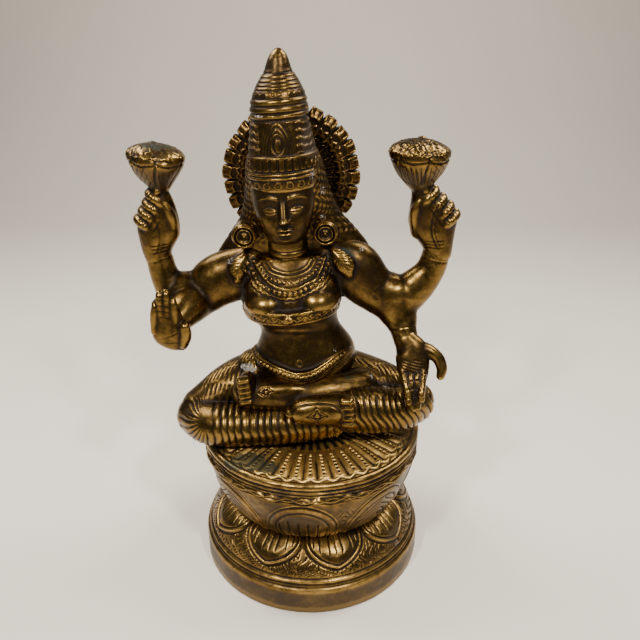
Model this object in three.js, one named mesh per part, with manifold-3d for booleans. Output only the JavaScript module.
// A seated four-armed goddess in cast brass, on a round lotus pedestal, with a toothed halo behind the head.
// Millimetres, +Z up. The viewer looks along +Y, so +X is on the viewer's right.
// The origin is at the centre of the pedestal's flat underside.
import * as THREE from "three";
import { LoftGeometry } from "three/addons/geometries/LoftGeometry.js";
import { mergeVertices } from "three/addons/utils/BufferGeometryUtils.js";
import Module from "manifold-3d";

const wasm = await Module();
wasm.setup();

// Pedestal: a plain wall, a ledge, a dome up to the neck, and a bowl up to the beaded rim and the seat
const BASE_RADIUS = 57;
const WALL_HEIGHT = 13.3;
const WALL_BEVEL = 0.7;
const LEDGE_WIDTH = 1.2;
const LEDGE_HEIGHT = 1.6;
const NECK_RADIUS = 41;
const NECK_HEIGHT = 36.3;
const DOME_HOLLOW = 1.3;
const BOWL_FOOT_RADIUS = 47.9;
const BOWL_FOOT_HEIGHT = 38.6;
const BOWL_UNDERCUT = 1.4;
const BOWL_FLARE = 1.15;
const RIM_RADIUS = 54.7;
const RIM_HEIGHT = 69.4;
const RIM_BEAD = 1.9;
const SEAT_HEIGHT = 74;
const SEAT_SLOPE = 2.2;
const ROUND_STEPS = 32;

// Carving on the pedestal: petals on dome and bowl, and the cloth's end fanned over the front of the seat
const PETALS = 8;
const PETAL_RELIEF = 1.5;
const PETAL_FILL = 0.92;
const PETAL_BEVEL = 0.16;
const DOME_PETAL_TURN = THREE.MathUtils.degToRad(15);
const STRIPS = 17;
const STRIP_RELIEF = 0.8;
const STRIP_FILL = 0.6;
const FAN_SPREAD = THREE.MathUtils.degToRad(144);

// Figure: height from the seat to the crown's tip, and how far the casting leans to the viewer's left
const FIGURE_HEIGHT = 176.4;
const FIGURE_LEAN = THREE.MathUtils.degToRad(4.2);
const FIGURE_OFFSET = -2.5;

// Halo
const HALO_RADIUS = 32.4;
const HALO_TEETH = 26;
const HALO_RIM_DEPTH = 7;
const HALO_WEB_DEPTH = 3.2;
const TOOTH_LENGTH = 4.6;
const TOOTH_FILL = 0.62;
const HALO_RING_WIDTH = 9.5;
const SCALLOP_RELIEF = 1;

// Room between pieces that touch, and how deep a raised detail is rooted in what carries it
const CLEARANCE = 0.3;
const SINK = 1;

// The figure's module: the figure is 176.4 parts high, so one part is about a millimetre at full size
const PART = FIGURE_HEIGHT / 176.4;

const VIEWER_SIDE = -Math.PI / 2;
const TO_VIEWER = new THREE.Vector3(0, -1, 0);
const UPWARD = new THREE.Vector3(0, 0, 1);

// A closed geometry as a solid that can be joined and cut.
function solidOf(geometry) {
  const bare = new THREE.BufferGeometry();
  bare.setAttribute("position", geometry.getAttribute("position"));
  bare.setIndex(geometry.getIndex());
  const merged = mergeVertices(bare, 1e-4);
  const corners = merged.index.array;
  const kept = [];
  for (let i = 0; i < corners.length; i += 3) {
    const [a, b, c] = [corners[i], corners[i + 1], corners[i + 2]];
    if (a !== b && b !== c && c !== a) kept.push(a, b, c);
  }
  const vertProperties = merged.attributes.position.array;
  return new wasm.Manifold(new wasm.Mesh({ numProp: 3, vertProperties, triVerts: new Uint32Array(kept) }));
}

// Joins solids into one, and keeps its outer body where a join traps a sliver of air.
function joined(solids) {
  const bodies = solids.reduce((sum, next) => sum.add(next)).decompose();
  return bodies.reduce((largest, next) => (next.volume() > largest.volume() ? next : largest));
}

// A solid as a named mesh with its own finish.
function meshOf(name, solid, finish) {
  const { numProp, vertProperties, triVerts } = solid.getMesh();
  const corners = new Float32Array((vertProperties.length / numProp) * 3);
  for (let i = 0; i < corners.length / 3; i++) {
    corners.set(vertProperties.subarray(i * numProp, i * numProp + 3), i * 3);
  }
  const geometry = new THREE.BufferGeometry();
  geometry.setAttribute("position", new THREE.BufferAttribute(corners, 3));
  geometry.setIndex(new THREE.BufferAttribute(new Uint32Array(triVerts), 1));
  geometry.computeVertexNormals();
  const mesh = new THREE.Mesh(geometry, new THREE.MeshStandardMaterial(finish));
  mesh.name = name;
  return mesh;
}

// A profile of [radius, height] points turned about the vertical axis.
function turned(profile, steps) {
  const points = profile.map(([radius, height]) => new THREE.Vector2(radius, height));
  return new THREE.LatheGeometry(points, steps).rotateX(Math.PI / 2);
}

// A point of the figure: x to the viewer's right, y back, z up from the seat, in parts of its height.
function at(x, y, z) {
  return new THREE.Vector3(x, y, z).multiplyScalar(PART);
}

// An oval ring of points square to the direction along, with its half depth measured towards facing.
function oval(centre, along, facing, halfWidth, halfDepth, sides) {
  const depth = facing.clone().addScaledVector(along, -facing.dot(along)).normalize();
  const width = new THREE.Vector3().crossVectors(depth, along);
  const ring = [];
  for (let k = 0; k < sides; k++) {
    const turn = (k / sides) * 2 * Math.PI;
    const point = centre.clone().addScaledVector(width, halfWidth * Math.cos(turn));
    ring.push(point.addScaledVector(depth, halfDepth * Math.sin(turn)));
  }
  return ring;
}

// Rings that round off the end of a limb, from its last ring outwards.
const DOME_TURNS = [[], [0.95]];
function dome(rings, centre, outward, along, facing, halfWidth, halfDepth, sides) {
  const reach = Math.min(halfWidth, halfDepth);
  return DOME_TURNS[rings].map((turn) => {
    const place = centre.clone().addScaledVector(outward, reach * Math.sin(turn));
    return oval(place, along, facing, halfWidth * Math.cos(turn), halfDepth * Math.cos(turn), sides);
  });
}

// A limb: an oval carried along a smooth path of stations, each [x, y, z, half width, half depth] in parts.
// Pleats swell and pinch it along its length, two rings to a pleat. ends gives the rings that round each end.
function limb(stations, options = {}) {
  const { sides = 8, steps = 4, facing = TO_VIEWER, pleats = 0, fold = 0.06, ends = [0, 1] } = options;
  const path = new THREE.CatmullRomCurve3(stations.map(([x, y, z]) => at(x, y, z)));
  const girths = stations.map(([, , , width, depth = width]) => at(width, depth, 0));
  const girth = new THREE.CatmullRomCurve3(girths);
  const count = pleats > 0 ? pleats * 2 : steps;
  const rings = [];
  for (let i = 0; i <= count; i++) {
    const share = i / count;
    const size = girth.getPoint(share);
    const swell = pleats > 0 ? 1 + (i % 2 === 0 ? -fold : fold) : 1;
    const along = path.getTangent(share);
    const section = [along, facing, size.x * swell, size.y * swell, sides];
    const centre = path.getPoint(share);
    rings.push(oval(centre, ...section));
    if (i === 0) rings.unshift(...dome(ends[0], centre, along.clone().negate(), ...section).reverse());
    if (i === count) rings.push(...dome(ends[1], centre, along, ...section));
  }
  return solidOf(new LoftGeometry(rings, { capStart: true, capEnd: true }));
}

// A stack of level ovals, each [z, x, y, half width, half depth] in parts.
function stack(levels, sides) {
  const rings = levels.map(([z, x, y, width, depth]) =>
    oval(at(x, y, z), UPWARD, TO_VIEWER, width * PART, depth * PART, sides),
  );
  return solidOf(new LoftGeometry(rings, { capStart: true, capEnd: true }));
}

// A ball stretched to three radii, in parts, turned about the viewer's line of sight.
function ball([x, y, z], [rx, ry, rz], { across = 10, down = 7, turn = 0 } = {}) {
  const round = new THREE.SphereGeometry(1, across, down).rotateX(Math.PI / 2).scale(rx, ry, rz);
  return solidOf(round.rotateY(turn).translate(x, y, z).scale(PART, PART, PART));
}

// A turned form standing at x, y, from [radius, z] in parts.
function turnedAt([x, y], profile, steps) {
  const shape = turned(profile, steps);
  return solidOf(shape.translate(x, y, 0).scale(PART, PART, PART));
}

// Pedestal

// The dome that rises from the ledge to the neck: a quarter of an oval, hollowed a little towards the neck.
const DOME_FOOT_RADIUS = BASE_RADIUS - LEDGE_WIDTH;
const DOME_FOOT_HEIGHT = WALL_HEIGHT + LEDGE_HEIGHT;
function domePoint(share) {
  const turn = share * Math.PI * 0.5;
  const radius = NECK_RADIUS + (DOME_FOOT_RADIUS - NECK_RADIUS) * Math.cos(turn) ** DOME_HOLLOW;
  return [radius, DOME_FOOT_HEIGHT + (NECK_HEIGHT - DOME_FOOT_HEIGHT) * Math.sin(turn)];
}

// The bowl that flares from its foot to the rim, a little faster near the top.
const BEAD_RADIUS = RIM_RADIUS - RIM_BEAD * 0.6;
const BOWL_TOP_RADIUS = RIM_RADIUS - RIM_BEAD * 0.4;
const BOWL_TOP_HEIGHT = RIM_HEIGHT - RIM_BEAD * 3;
function bowlPoint(share) {
  const radius = BOWL_FOOT_RADIUS + (BOWL_TOP_RADIUS - BOWL_FOOT_RADIUS) * share ** BOWL_FLARE;
  return [radius, BOWL_FOOT_HEIGHT + (BOWL_TOP_HEIGHT - BOWL_FOOT_HEIGHT) * share];
}

// The outer half of a bead that stands out from the profile.
function bead(height) {
  return [-0.8, 0.8].map((turn) => {
    return [BEAD_RADIUS + RIM_BEAD * (Math.cos(turn) - 0.4), height + RIM_BEAD * Math.sin(turn)];
  });
}

// The seat slopes down from its flat middle to the hem. The middle stands as high as the strips of the fan.
const HEM_RADIUS = RIM_RADIUS - RIM_BEAD * 2.2;
const FLAT_RADIUS = HEM_RADIUS * 0.62;
const FLAT_HEIGHT = SEAT_HEIGHT + STRIP_RELIEF;

function pedestalBody() {
  const profile = [
    [0, 0],
    [BASE_RADIUS, 0],
    [BASE_RADIUS, WALL_HEIGHT - WALL_BEVEL],
    [BASE_RADIUS - WALL_BEVEL, WALL_HEIGHT],
    [DOME_FOOT_RADIUS, DOME_FOOT_HEIGHT],
    ...[0.3, 0.62, 1].map(domePoint),
    [BOWL_FOOT_RADIUS - BOWL_UNDERCUT, BOWL_FOOT_HEIGHT - BOWL_UNDERCUT],
    ...[0, 0.5, 1].map(bowlPoint),
    ...bead(RIM_HEIGHT - RIM_BEAD * 2),
    ...bead(RIM_HEIGHT),
    [HEM_RADIUS, SEAT_HEIGHT - SEAT_SLOPE],
    [FLAT_RADIUS, SEAT_HEIGHT],
    [FLAT_RADIUS, FLAT_HEIGHT],
    [0, FLAT_HEIGHT],
  ];
  return solidOf(turned(profile, ROUND_STEPS));
}

// One lotus petal laid on the dome or the bowl, with bevelled sides that close to a rounded tip.
// place gives [radius, height] at a share of the way from the petal's root to its tip.
function petal(heading, place) {
  const halfAngle = (Math.PI / PETALS) * PETAL_FILL;
  const flat = 1 - PETAL_BEVEL;
  const section = [
    [-1, -SINK],
    [-flat, PETAL_RELIEF],
    [flat, PETAL_RELIEF],
    [1, -SINK],
  ];
  const rings = [0, 0.5, 0.84, 1].map((row) => {
    const [radius, height] = place(row);
    const spread = halfAngle * Math.max(Math.sqrt(1 - row ** 3), 0.12);
    return section.map(([across, relief]) => {
      const turn = heading + across * spread;
      const out = radius + relief;
      return new THREE.Vector3(Math.cos(turn) * out, Math.sin(turn) * out, height);
    });
  });
  const rising = place(1)[1] > place(0)[1];
  if (!rising) rings.forEach((ring) => ring.reverse());
  return solidOf(new LoftGeometry(rings, { capStart: true, capEnd: true }));
}

// Petals that stand up on the bowl, and petals that hang down over the dome.
function petals() {
  const upright = (row) => bowlPoint(0.02 + 0.86 * row);
  const hanging = (row) => domePoint(0.8 - 0.62 * row);
  return Array.from({ length: PETALS }, (_, k) => {
    const heading = VIEWER_SIDE + (k / PETALS) * 2 * Math.PI;
    return [petal(heading, upright), petal(heading + DOME_PETAL_TURN, hanging)];
  }).flat();
}

// The pleated end of the cloth, spread over the front of the seat as a fan of raised strips.
function fan() {
  const outer = HEM_RADIUS - RIM_BEAD * 1.6;
  const drop = (SEAT_SLOPE * (outer - FLAT_RADIUS)) / (HEM_RADIUS - FLAT_RADIUS);
  const ends = [
    [FLAT_RADIUS - SINK, SEAT_HEIGHT],
    [outer, SEAT_HEIGHT - drop],
  ];
  const pitch = FAN_SPREAD / STRIPS;
  const side = STRIP_FILL / 2;
  const section = [
    [-side, -SINK],
    [side, -SINK],
    [side, STRIP_RELIEF],
    [-side, STRIP_RELIEF],
  ];
  return Array.from({ length: STRIPS }, (_, k) => {
    const heading = VIEWER_SIDE + (k - (STRIPS - 1) / 2) * pitch;
    const rings = ends.map(([radius, height]) => {
      return section.map(([across, relief]) => {
        const turn = heading + across * pitch;
        return new THREE.Vector3(Math.cos(turn) * radius, Math.sin(turn) * radius, height + relief);
      });
    });
    return solidOf(new LoftGeometry(rings, { capStart: true, capEnd: true }));
  });
}

// Halo

// A toothed disc outline: one corner in each notch, and flat-topped teeth, or pointed ones where fill is 0.
function toothedOutline(radius, depth, fill) {
  const pitch = (2 * Math.PI) / HALO_TEETH;
  const tip = fill > 0 ? [0.5 - fill / 2, 0.5 + fill / 2] : [0.5];
  const corners = [[0, radius - depth], ...tip.map((step) => [step, radius])];
  const points = [];
  for (let k = 0; k < HALO_TEETH; k++) {
    corners.forEach(([step, out]) => {
      const turn = (k + step) * pitch;
      points.push(new THREE.Vector2(Math.cos(turn) * out, Math.sin(turn) * out));
    });
  }
  return new THREE.Shape(points);
}

function disc(radius) {
  return new THREE.Shape().absarc(0, 0, radius, 0, 2 * Math.PI);
}

// A slab of an outline drawn in the upright plane, from y = front to y = front + depth.
function slab(outline, front, depth) {
  const shape = new THREE.ExtrudeGeometry(outline, { depth, bevelEnabled: false, steps: 1 });
  return solidOf(shape.rotateX(Math.PI / 2).translate(0, front + depth, 0));
}

const WEB_RADIUS = HALO_RADIUS - HALO_RING_WIDTH;
const WEB_SINK = HALO_RIM_DEPTH - HALO_WEB_DEPTH;
const BOSS_RADIUS = WEB_RADIUS * 0.36;

// The halo about its own centre, its rim's front face at y = 0: a toothed rim with a ring of scallops on it,
// round a sunk web with ribs.
function haloSolid() {
  const rim = slab(toothedOutline(HALO_RADIUS, TOOTH_LENGTH, TOOTH_FILL), 0, HALO_RIM_DEPTH);
  const well = slab(disc(WEB_RADIUS), -SINK, WEB_SINK + SINK);
  const scallops = toothedOutline(WEB_RADIUS + HALO_RING_WIDTH * 0.42, HALO_RING_WIDTH * 0.2, 0);
  scallops.holes.push(disc(WEB_RADIUS));
  const ribLength = WEB_RADIUS * 0.62;
  const ribs = Array.from({ length: HALO_TEETH }, (_, k) => {
    const rib = new THREE.BoxGeometry(ribLength + SINK, WEB_SINK * 0.5 + SINK, HALO_RING_WIDTH * 0.16);
    rib.translate(WEB_RADIUS - (ribLength - SINK) / 2, WEB_SINK * 0.75 + SINK / 2, 0);
    return solidOf(rib.rotateY((k / HALO_TEETH) * 2 * Math.PI));
  });
  return joined([rim.subtract(well), slab(scallops, -SCALLOP_RELIEF, SCALLOP_RELIEF + SINK), ...ribs]);
}

// Everything that the halo takes up, grown by the clearance, for the figure to be cut back to.
function haloRoom() {
  const front = -SCALLOP_RELIEF - CLEARANCE;
  const room = slab(disc(HALO_RADIUS + CLEARANCE * 2), front, HALO_RADIUS);
  const lug = slab(disc(BOSS_RADIUS), front - SINK, WEB_SINK - CLEARANCE - front + SINK);
  return room.subtract(lug);
}

// Figure

// Hips, waist, chest and shoulders as one stack of ovals, and the neck on top.
function trunk() {
  const levels = [
    [-4, 0, 8, 30, 19],
    [26, 0.2, 5.8, 31.4, 20],
    [36, 0.6, 3.4, 28.6, 18.8],
    [43.5, 1.5, 1.4, 24.2, 16.4],
    [53, 1, 0.4, 18.8, 13.2],
    [58, -1, 0.4, 20.6, 13.8],
    [64, -2.2, 0, 24, 15],
    [84, 0, 1, 29, 12.5],
    [89, 0, 2, 24, 11],
  ];
  return stack(levels, 12);
}

function breasts() {
  return [-12.8, 10].map((x) => ball([x, -10.4, 71.6], [11.4, 12.6, 9.6], { across: 8, down: 6 }));
}

// The patterned band under the breasts.
function bustBand() {
  const levels = [
    [60.4, -2.4, -2.8, 22, 17],
    [61.8, -2.4, -2.8, 24, 19.6],
    [68.4, -2.2, -2.8, 25.2, 20.8],
  ];
  return stack(levels, 12);
}

// A U of cord over the chest. Its places run from the lowest point up one side, and repeat on the other.
const CHEST_MIDDLE = -1;
function swag(half, size) {
  const other = half.slice(1).map(([x, y, z]) => [2 * CHEST_MIDDLE - x, y, z]);
  const stations = [...other.reverse(), ...half].map((place) => [...place, size, size * 0.8]);
  return limb(stations, { sides: 4, steps: 8, facing: UPWARD });
}

function necklaces() {
  return [
    swag([[CHEST_MIDDLE, -14.6, 79.4], [8.6, -16.6, 81.4], [15.6, -8, 88]], 1.7),
    swag([[CHEST_MIDDLE, -17, 73.4], [9.6, -21.4, 76.4], [19.4, -9, 86]], 1.9),
  ];
}

// The belt, which dips over the belly.
function belt() {
  const route = [
    [-19, 4, 42.2],
    [-17.6, -7.5, 38.5],
    [-9.6, -14.8, 34.8],
    [0.2, -17.2, 33.2],
    [10.4, -14.8, 35.2],
    [18.8, -7.5, 39.6],
    [20.4, 4, 43.2],
  ];
  return limb(route.map((place) => [...place, 2.8]), { sides: 4, steps: 8, facing: UPWARD });
}

// Pelvis and lap: the thighs run out to the knees, and the pleated shins come back across the front.
function legs() {
  const cloth = { sides: 7, fold: 0.07, facing: UPWARD, ends: [1, 0] };
  const leftThigh = [
    [-8, 5, 25, 16, 15],
    [-31, 1.5, 21.6, 16, 14],
    [-50.6, -6, 12.6, 13.4, 11.2],
  ];
  const rightThigh = [
    [8, 5, 25, 16, 15],
    [31, 1.5, 20.4, 16.4, 14],
    [50.6, -6, 12.4, 13.4, 11.4],
  ];
  const leftShin = [
    [-53.6, -8, 10.8, 10.6, 10.8],
    [-43.6, -17.4, 11.2, 11.4, 10.8],
    [-24, -21, 11.8, 10.8, 10],
    [-4, -22, 11, 9, 9],
    [14, -20, 7.6, 5.2, 6],
  ];
  const rightShin = [
    [53.6, -8, 10.8, 10.8, 11],
    [44.6, -15.6, 12.4, 11.4, 11.4],
    [27, -18, 15, 11.4, 12.2],
    [10, -16, 18.5, 9.6, 11],
  ];
  return [
    limb(leftThigh, { sides: 8, steps: 2 }),
    limb(rightThigh, { sides: 8, steps: 2 }),
    limb(leftShin, { ...cloth, pleats: 8 }),
    limb(rightShin, { ...cloth, pleats: 5 }),
    ball([0, -6.4, 22.4], [27, 17, 12.4], { across: 8, down: 4 }),
  ];
}

// How every finger and toe is cut
const FINGER = { sides: 4, steps: 1, ends: [0, 0] };

// A bare foot with its sole to the viewer. reach is 1 where its toes point to the viewer's right, else -1.
function foot([x, y, z], length, halfHeight, reach) {
  const outline = [
    [0, 0.58, 5.6],
    [0.2, 0.96, 6.6],
    [0.62, 1, 6.4],
    [0.84, 0.92, 6],
  ];
  const stations = outline.map(([share, height, depth]) => {
    return [x + length * share * reach, y, z + share * 0.6, halfHeight * height, depth];
  });
  const sole = limb(stations, { sides: 6, steps: 3, ends: [0, 0] });
  const toes = Array.from({ length: 5 }, (_, k) => {
    const size = halfHeight * (k === 0 ? 0.27 : 0.2);
    const lift = z + 0.6 + halfHeight * (0.68 - k * 0.36);
    const tip = x + (length - size - [0, 0.2, 0.5, 0.9, 1.5][k]) * reach;
    const root = x + length * 0.8 * reach;
    const stations = [[root, y - 2.8, lift, size], [tip, y - 3.4, lift, size]];
    return limb(stations, FINGER);
  });
  return [sole, ...toes];
}

function feet() {
  return [...foot([-5.5, -29, 22], 31, 7.2, 1), ...foot([3, -25, 30.8], 30, 6, -1)];
}

// Each side's upper arm, its raised forearm and its lowered forearm.
function arms() {
  const leftUpper = [
    [-20, 2, 82, 13, 10.5],
    [-34, 2, 79.4, 13.2, 10.4],
    [-43, 1, 75.2, 12.6, 9.8],
    [-53, -1, 70.8, 9.4, 8],
  ];
  const leftRaised = [
    [-51.4, -1, 70, 9.4, 8.4],
    [-57.2, 0, 75.6, 7.6, 7],
    [-59.6, 0.5, 83, 6.2, 5.8],
    [-60.8, 0.5, 94, 5.9, 5.2],
  ];
  const leftLowered = [
    [-48, -2, 70.4, 8],
    [-49.6, -9, 69.4, 6.6],
    [-52, -16, 67.4, 5.4],
    [-54.4, -22, 64, 4.6],
  ];
  const rightUpper = [
    [20, 2, 84, 12, 10.5],
    [31.6, 2, 80.4, 12.4, 10.4],
    [38, 1, 73.6, 11, 9.6],
    [46, 0, 63, 9.6, 8.8],
  ];
  const rightRaised = [
    [49, -1, 62, 9.6, 8.6],
    [57.8, 0, 68.8, 8.4, 7.2],
    [64, 0.5, 76.4, 6.5, 6],
    [67.6, 0.5, 87, 6.4, 5.4],
  ];
  const rightLowered = [
    [43, 0, 67, 10.6, 9.2],
    [48.4, -3, 56, 8.8, 7.4],
    [50, -7, 49.6, 6.4, 5.8],
    [50.8, -10.5, 45, 5.8, 4.8],
  ];
  const routes = [leftUpper, leftRaised, leftLowered, rightUpper, rightRaised, rightLowered];
  return routes.map((stations) => limb(stations, { sides: 7, steps: 3, ends: [0, 0] }));
}

// A ring round a limb at a point, square to a direction.
function band([x, y, z], direction, radius, width) {
  const along = new THREE.Vector3(...direction).normalize();
  const size = radius * PART;
  const rings = [-1, 1].map((step) => {
    const place = at(x, y, z).addScaledVector(along, step * width * PART);
    return oval(place, along, TO_VIEWER, size, size * 0.94, 7);
  });
  return solidOf(new LoftGeometry(rings, { capStart: true, capEnd: true }));
}

function bracelets() {
  return [
    band([-60.6, 0.5, 90.6], [0, 0, 1], 6.9, 2.2),
    band([67, 0.5, 84.6], [0.3, 0, 1], 7.2, 2.2),
    band([49.8, -6.6, 50.4], [0.1, 0.6, 1], 7.2, 2.8),
    band([-51.6, -14.6, 67.8], [0.4, 1, 0.4], 6.8, 1.8),
  ];
}

// The pointed leaf ornament over each shoulder.
function epaulettes() {
  return [-1, 1].map((side) => {
    const stations = [[20, -7, 88, 2.4, 2.6], [25, -8.6, 82, 4.4, 3], [27.6, -8, 75, 3, 3]];
    return limb(stations.map(([x, ...rest]) => [x * side, ...rest]), { sides: 4, steps: 3 });
  });
}

// A raised fist round a stem, knuckles outwards, and the closed lotus bud on the stem.
// side is -1 on the viewer's left. fist is the palm's middle and half width, bud its widest ring and radius.
function budHand(side, [fistX, fistZ, width], [budX, budZ, radius]) {
  const y = 0.5;
  const palm = [
    [fistX - side * 1.4, y, fistZ - 13, 5.8, 4.8],
    [fistX - side * 0.4, y, fistZ - 6, width * 0.85, 5.4],
    [fistX, y, fistZ + 1.5, width, 5.8],
    [budX, y, fistZ + 10.5, 5.6, 5],
  ];
  const fingers = [0.98, 0.96, 0.84, 0.62].map((share, k) => {
    const z = fistZ - 1.6 + k * 3.5;
    const out = fistX + side * (width * share - 1);
    return limb([[out, y + 1, z, 2.3], [out - side * 5, y - 5.4, z + 0.6, 2.1]], FINGER);
  });
  const thumb = [
    [fistX - side * width * 0.7, y - 2, fistZ + 2, 2.6],
    [fistX - side * width * 0.5, y - 4.4, fistZ + 9, 2],
  ];
  const stem = [[budX, y, fistZ + 6, 5], [budX, y, budZ - 9, 6]];
  const cup = [
    [0, budZ - 13],
    [radius * 0.44, budZ - 12.6],
    [radius * 0.86, budZ - 6],
    [radius, budZ],
    [radius * 0.88, budZ + 2.6],
    [radius * 0.5, budZ + 5],
    [0, budZ + 6.2],
  ];
  return [
    limb(palm, { sides: 6, steps: 3, ends: [0, 0] }),
    ...fingers,
    limb(thumb, FINGER),
    limb(stem, { sides: 6, steps: 1, ends: [0, 0] }),
    turnedAt([budX, y], cup, 8),
  ];
}

// An open hand held up, palm to the viewer, fingers pointing up.
function blessingHand() {
  const y = -24.8;
  const palm = [[-55, y, 60, 5.6, 3.4], [-55.2, y, 65, 7.2, 3.6], [-55.2, y, 73, 6.8, 3]];
  const fingers = [80.6, 83.6, 84.2, 82.4].map((top, k) => {
    const x = -60.6 + k * 3.5;
    return limb([[x, y, 71, 1.95, 2.2], [x + 1, y - 0.6, top - 0.6, 1.5, 1.6]], FINGER);
  });
  const thumb = [[-50.4, y, 61, 2.9], [-47.6, y - 0.8, 66.4, 2.2]];
  return [
    limb(palm, { sides: 6, steps: 2, ends: [1, 0] }),
    ...fingers,
    limb(thumb, { sides: 5, steps: 1, ends: [1, 1] }),
  ];
}

// An open hand held down over the knee, palm to the viewer, fingers pointing down.
function givingHand() {
  const palm = [[50.4, -10.4, 46, 5.6, 4.2], [53.4, -13.2, 41, 8.2, 4.4], [52.8, -17.4, 34.4, 7.8, 3.8]];
  const fingers = [25.6, 21.6, 21.4, 24.6].map((tip, k) => {
    const x = 46.8 + k * 3.8;
    const stations = [[x, -17.6, 35, 2.1, 2.4], [x, -25, 29, 2.1, 2.4], [x, -28.6, tip + 0.6, 1.6, 1.6]];
    return limb(stations, { ...FINGER, steps: 2 });
  });
  const thumb = [[58.6, -13.4, 41.6, 3.4], [64.8, -15.4, 38.4, 2.9], [66.2, -18.6, 32, 2.2]];
  return [limb(palm, { sides: 6, steps: 2, ends: [1, 0] }), ...fingers, limb(thumb, { sides: 5, steps: 2 })];
}

// The hair and veil: a cloak behind the face that widens onto the shoulders.
function mantle() {
  const levels = [
    [70, 0, 8, 22, 9],
    [79, 0, 7.4, 34, 9.6],
    [88, 0.7, 6.4, 38.6, 9.7],
    [99, 0.8, 6, 28.4, 9.8],
    [107, 0.8, 6, 22.2, 11],
    [118, 0.8, 4, 18.9, 12.8],
    [131, 0.6, 1, 16.6, 15.6],
  ];
  return stack(levels, 12);
}

// Neck, head and a calm, regular face.
const FACE_MIDDLE = -0.5;
function head() {
  const skull = [
    [96.6, -0.6, -6.4, 4.4, 4.6],
    [98.6, -0.6, -5.6, 8, 8.6],
    [103, -0.6, -4.4, 11, 11.2],
    [110, -0.6, -3.2, 13.2, 12.6],
    [128, 0, -0.4, 15.6, 15],
  ];
  const nose = [
    [FACE_MIDDLE, -15.4, 115.6, 1, 1.2],
    [FACE_MIDDLE, -17, 110.8, 1.5, 1.7],
    [FACE_MIDDLE, -17.4, 107.8, 2.1, 1.8],
  ];
  const lip = (halfWidth, z, size) => [
    [FACE_MIDDLE - halfWidth, -14.1, z + 0.2, 0.8],
    [FACE_MIDDLE, -15.6, z, size],
    [FACE_MIDDLE + halfWidth, -14.1, z + 0.2, 0.8],
  ];
  const brow = (side) => [
    [FACE_MIDDLE + side * 2, -14.8, 116.4, 0.9],
    [FACE_MIDDLE + side * 6, -14.4, 118.2, 1],
    [FACE_MIDDLE + side * 9.8, -12, 116.4, 0.8],
  ];
  const eye = (side) => ball([FACE_MIDDLE + side * 5.6, -13.2, 112.4], [3.2, 2.4, 1.6], { across: 6, down: 3 });
  const ridge = { sides: 3, steps: 2, facing: UPWARD, ends: [0, 0] };
  const neck = [[80, -0.6, -1, 11, 10], [90, -0.6, -1, 9.4, 8.8], [100, -0.6, -1, 9, 8.6]];
  return [
    stack(neck, 8),
    stack(skull, 12),
    limb(nose, { sides: 4, steps: 2, ends: [0, 0] }),
    limb(lip(3.1, 104.1, 1.2), ridge),
    limb(lip(2.3, 102.3, 1.1), ridge),
    ...[-1, 1].flatMap((side) => [limb(brow(side), ridge), eye(side)]),
  ];
}

// Round plate earrings with a raised rim and a bead in the middle.
function earrings() {
  return [[-19.4, 100.6], [16.6, 99.4]].flatMap(([x, z]) => {
    const plate = turned([[0, -10], [5, -10], [5.2, 3], [3.6, 3], [3, 2], [0, 3.4]], 8);
    return solidOf(plate.rotateX(Math.PI / 2).translate(x, -5, z).scale(PART, PART, PART));
  });
}

// The tall crown: a rim, a band of pegs, a drum with a leaf in front, and a ringed dome under a pointed knob.
// Above the drum it bends a little to the viewer's right.
function crown() {
  const sides = 12;
  const ring = ([z, radius]) => [z, crownMiddle(z), 0.4, radius, radius];
  const rim = [
    [127.6, 15.8],
    [131, 17.6],
    [134.2, 17],
  ];
  const drum = [
    [139.6, 14.2],
    [152.4, 11.6],
    [154.4, 12.4],
    [158.4, 11.5],
    [162.6, 10.3],
    [168.8, 5.4],
    [174.6, 3.1],
    [176.4, 1],
  ];
  const leaf = [[0.4, -14.2, 140.6, 4.6, 1.8], [0.5, -13.6, 144.6, 4.4, 1.8], [0.6, -12.4, 150.6, 1, 1.2]];
  return [
    stack(rim.map(ring), sides),
    pegBand(16),
    stack(drum.map(ring), sides),
    limb(leaf, { sides: 5, steps: 2, ends: [0, 0] }),
  ];
}

function crownMiddle(z) {
  const bend = Math.max(z - 148, 0) / 28;
  return 0.6 + 2.4 * bend ** 1.3;
}

// The band of upright pegs round the crown: a ring whose outline steps out at each peg.
function pegBand(pegs) {
  const ring = (z, out, inside) => {
    const points = [];
    for (let k = 0; k < pegs * 2; k++) {
      const turn = (k / (pegs * 2)) * 2 * Math.PI;
      const radius = k % 2 === 0 ? out : inside;
      points.push(at(Math.cos(turn) * radius + crownMiddle(z), Math.sin(turn) * radius + 0.4, z));
    }
    return points;
  };
  const rings = [ring(133.8, 16.6, 15), ring(139.9, 15.7, 14.4)];
  return solidOf(new LoftGeometry(rings, { capStart: true, capEnd: true }));
}

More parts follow.
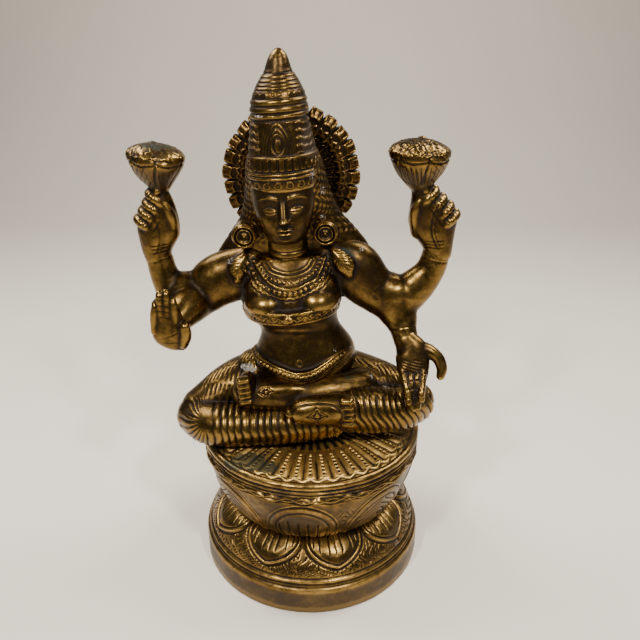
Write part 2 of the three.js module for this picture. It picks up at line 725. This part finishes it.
// Curls of hair along the brow.
function curls() {
  return [-2, -1, 0, 1, 2].map((step) => {
    const turn = step * 0.4;
    const place = [Math.sin(turn) * 15.8, -Math.cos(turn) * 15.2, 127.2];
    return ball(place, [2.6, 1.9, 2.1], { across: 6, down: 3 });
  });
}

function figureSolid() {
  const body = joined([
    trunk(),
    ...breasts(),
    bustBand(),
    ...necklaces(),
    belt(),
    ...legs(),
    ...feet(),
    ...arms(),
    ...bracelets(),
    ...epaulettes(),
    ...budHand(-1, [-59.2, 106.6, 9.4], [-54.2, 136.8, 12.3]),
    ...budHand(1, [65.4, 100.6, 11.6], [59.8, 130.8, 13.4]),
    ...blessingHand(),
    ...givingHand(),
    mantle(),
    ...head(),
    ...earrings(),
    ...crown(),
    ...curls(),
    haloLug(),
  ]);
  const room = haloRoom().translate(haloPlace().toArray());
  return body.subtract(room);
}

// Where the middle of the halo's front face stands in the figure's frame.
function haloPlace() {
  return at(2.4, 18.4, 120.5);
}

// The boss on the back of the head that reaches the halo's web.
function haloLug() {
  const { x, y, z } = haloPlace();
  return slab(disc(BOSS_RADIUS), 0, y + WEB_SINK).translate([x, 0, z]);
}

// The figure set down on the seat: leaned, moved over the pedestal, and trimmed flat just above the seat.
function seated(solid) {
  const place = new THREE.Matrix4().makeRotationY(-FIGURE_LEAN).setPosition(FIGURE_OFFSET, 0, SEAT_HEIGHT);
  return solid.transform(place.elements);
}

function trimmedToSeat(solid) {
  const span = FIGURE_HEIGHT * 2;
  const below = new THREE.BoxGeometry(span, span, span);
  below.translate(0, 0, SEAT_HEIGHT + STRIP_RELIEF + CLEARANCE - span / 2);
  return solid.subtract(solidOf(below));
}

const brass = { roughness: 0.38, metalness: 1 };
const part = new THREE.Group();
part.add(
  meshOf("pedestal", joined([pedestalBody(), ...petals(), ...fan()]), { ...brass, color: 0x8a6a34 }),
  meshOf("figure", trimmedToSeat(seated(figureSolid())), { ...brass, color: 0x94723c }),
  meshOf("halo", seated(haloSolid().translate(haloPlace().toArray())), { ...brass, color: 0x7d5d30 }),
);

export default part;
